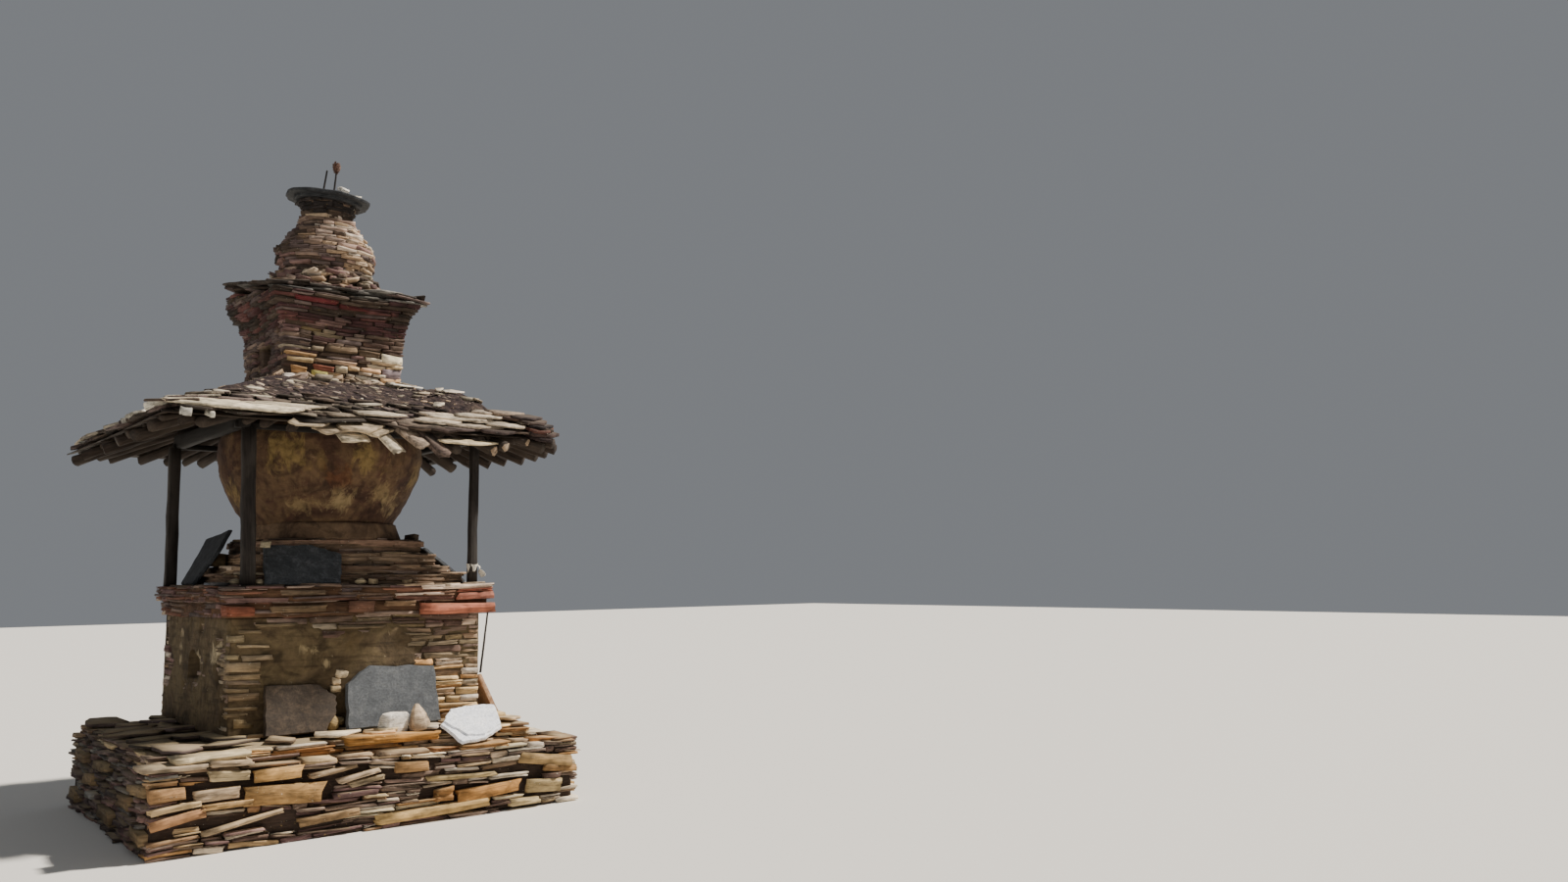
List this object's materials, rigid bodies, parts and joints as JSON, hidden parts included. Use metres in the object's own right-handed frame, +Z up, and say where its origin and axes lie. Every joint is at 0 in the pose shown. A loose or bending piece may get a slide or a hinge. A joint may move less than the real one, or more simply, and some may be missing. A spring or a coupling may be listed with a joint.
{
  "type": "dry-stone stupa",
  "caption": "Dry-stone stupa on a ledge, with a stepped base, bell-shaped plastered dome, slate roof on timber posts, corbelled head and round spire.",
  "frame": {"origin": "on the ground, at the lowest point of the plinth's foot, below the middle of the base", "axes": "+Z up; -Y is the broad front above the stone ledge; +X is to the right when the front is faced"},
  "size_m": [3.1249, 3.2458, 5.2351],
  "materials": {
    "ledge_stone": "rough flat field stone, cream, buff and ochre",
    "mud_plaster": "worn olive-ochre mud plaster over stone",
    "wall_stone": "thin brown-grey dry-laid stone",
    "red_stone": "stone with worn red earth paint",
    "dome_plaster": "yellow-brown mud plaster with dark stains",
    "dark_slate": "blue-grey cleft slate",
    "pale_slate": "pale weathered slate",
    "white_stone": "pale broken stone",
    "earth": "dry earth with stone chips",
    "dark_wood": "dark weathered timber",
    "grey_wood": "grey-brown weathered poles and split boards",
    "brown_cloth": "faded brown cloth",
    "white_cloth": "dirty white cotton"
  },
  "bodies": {
    "root": {"plinth": "ledge_stone", "ledge_course": "ledge_stone", "ledge_flag": "pale_slate", "base_wall": "mud_plaster", "cornice_lower": "wall_stone", "cornice_upper": "red_stone", "lower_step": "wall_stone", "second_step": "wall_stone", "third_step": "wall_stone", "upper_step": "wall_stone", "dome_foot": "dome_plaster", "dome": "dome_plaster", "post_front_left": "dark_wood", "post_front_right": "dark_wood", "post_back_left": "dark_wood", "post_back_right": "dark_wood", "beam_front": "dark_wood", "beam_back": "dark_wood", "beam_left": "dark_wood", "beam_right": "dark_wood", "rafters_front": "grey_wood", "rafters_right": "grey_wood", "rafters_back": "grey_wood", "rafters_left": "grey_wood", "slates_front": "pale_slate", "slates_right": "pale_slate", "slates_back": "pale_slate", "slates_left": "pale_slate", "roof_earth": "earth", "head_wall": "wall_stone", "corbel_lower": "wall_stone", "corbel_middle": "red_stone", "corbel_upper": "wall_stone", "cap_slab": "dark_slate", "cap_rubble": "wall_stone", "spire_drum": "wall_stone", "spire_disc": "dark_slate", "finial_stick_left": "dark_wood", "finial_stick_right": "dark_wood", "finial_cloth": "brown_cloth", "slab_large": "dark_slate", "slab_brown": "wall_stone", "slab_corner": "wall_stone", "slab_ledge": "pale_slate", "stone_white": "white_stone", "stone_pointed": "white_stone", "slab_upper_front": "dark_slate", "slab_upper_left": "dark_slate", "slab_upper_right": "dark_slate", "wedge_stone": "wall_stone", "corner_stick": "dark_wood", "post_cloth": "white_cloth"}
  },
  "joints": []
}
